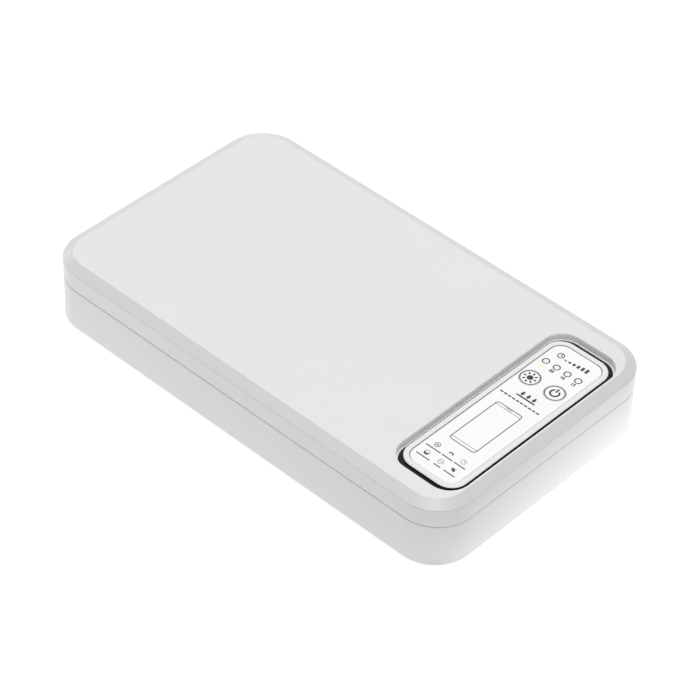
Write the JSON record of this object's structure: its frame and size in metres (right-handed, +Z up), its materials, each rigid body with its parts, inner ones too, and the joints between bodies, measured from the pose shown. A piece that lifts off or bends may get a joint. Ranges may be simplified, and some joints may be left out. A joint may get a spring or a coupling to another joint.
{
  "type": "uv curing box for phones",
  "caption": "Flat white box with round corners for a phone: hinged lid with ultraviolet lamps over a padded vacuum chamber, and a sunken control panel with push buttons.",
  "frame": {"origin": "Middle of the whole object's outline in plan, on the surface that the feet stand on", "axes": "+X along the long side, towards the control panel; +Y from the user's side towards the hinge; +Z up"},
  "size_m": [0.25, 0.1484, 0.038],
  "materials": {
    "casing_white": "white ABS with a satin gloss, as moulded",
    "base_white": "white ABS with a satin gloss, as moulded",
    "deck_white": "white ABS, fine moulded grain",
    "liner_white": "white ABS, fine moulded grain",
    "clamp_white": "light grey ABS",
    "mirror_sheet": "bright rolled aluminium sheet",
    "mat_silicone": "light grey silicone with fine ribs",
    "seal_silicone": "dark grey silicone",
    "foot_rubber": "black rubber",
    "screw_steel": "zinc-plated steel",
    "magnet_nickel": "nickel-plated magnet",
    "sensor_glass": "glass tube with reeds",
    "pin_steel": "ground steel pin",
    "cradle_rubber": "black rubber mount",
    "motor_can": "plated steel can",
    "pump_plastic": "cream nylon",
    "hose_silicone": "milky silicone hose",
    "valve_plastic": "dark nylon",
    "circuit_board": "green solder mask on glass fibre",
    "part_black": "black moulded plastic",
    "plunger_grey": "grey plastic",
    "cable_black": "black cable sheath",
    "cable_red": "red wire sheath",
    "foam_black": "black closed-cell foam",
    "bezel_white": "white ABS with a satin gloss",
    "overlay_print": "white printed polyester film",
    "button_white": "white ABS with a printed ring",
    "led_chip": "lamp chip with a yellow fill",
    "lens_clear": "milky acrylic light guide",
    "uv_lamp": "lamp chips with a clear dome",
    "window_clear": "clear acrylic sheet",
    "membrane_clear": "clear soft silicone sheet"
  },
  "bodies": {
    "base": {"base_shell": "base_white", "chamber_deck": "deck_white", "bed_plate": "mirror_sheet", "phone_mat": "mat_silicone", "chamber_seal": "seal_silicone", "foot_front_left": "foot_rubber", "foot_front_right": "foot_rubber", "foot_rear_left": "foot_rubber", "foot_rear_right": "foot_rubber", "base_screws": "screw_steel", "base_magnets": "magnet_nickel", "lid_sensor": "sensor_glass", "hinge_pin_left": "pin_steel", "hinge_pin_right": "pin_steel", "pump_cradle": "cradle_rubber", "pump_motor": "motor_can", "pump_head": "pump_plastic", "motor_cable": "cable_red", "vacuum_hose": "hose_silicone", "vent_valve": "valve_plastic", "vent_hose": "hose_silicone", "main_board": "circuit_board", "board_parts": "part_black", "main_board_screws": "screw_steel", "buzzer": "part_black", "power_socket": "part_black", "base_cable": "cable_black"},
    "lid": {"lid_frame": "casing_white", "lid_cover": "casing_white", "bezel_foam": "foam_black", "control_bezel": "bezel_white", "control_overlay": "overlay_print", "control_board": "circuit_board", "control_board_screws": "screw_steel", "uv_switch": "part_black", "power_switch": "part_black", "indicator_leds": "led_chip", "indicator_lens_1": "lens_clear", "indicator_lens_2": "lens_clear", "indicator_lens_3": "lens_clear", "indicator_lens_4": "lens_clear", "lamp_strip_front": "circuit_board", "lamp_strip_middle": "circuit_board", "lamp_strip_rear": "circuit_board", "uv_lamps": "uv_lamp", "lamp_window": "window_clear", "lid_liner": "liner_white", "press_membrane": "membrane_clear", "membrane_clamp": "clamp_white", "clamp_screws": "screw_steel", "lid_screws": "screw_steel", "lid_magnets": "magnet_nickel", "lid_cable": "cable_black"},
    "uv_button": {"uv_button": "button_white", "uv_switch_plunger": "plunger_grey"},
    "power_button": {"power_button": "button_white", "power_switch_plunger": "plunger_grey"},
    "pump_crank": {"pump_crank": "pump_plastic"}
  },
  "joints": [
    {"name": "lid_hinge", "type": "hinge", "parent": "base", "child": "lid", "pos_m": [0, 0.07105, 0.0253], "axis": [-1, 0, 0], "range_deg": [0, 100]},
    {"name": "uv_press", "type": "slide", "parent": "lid", "child": "uv_button", "axis": [0, 0, -1], "range_m": [0, 0.0005], "stiffness_N_per_m": 1500, "springref_m": -0.0004},
    {"name": "power_press", "type": "slide", "parent": "lid", "child": "power_button", "axis": [0, 0, -1], "range_m": [0, 0.0005], "stiffness_N_per_m": 1500, "springref_m": -0.0004},
    {"name": "pump_spin", "type": "hinge", "parent": "base", "child": "pump_crank", "pos_m": [0.097, -0.03485, 0.0124], "axis": [0, 1, 0], "continuous": true}
  ]
}
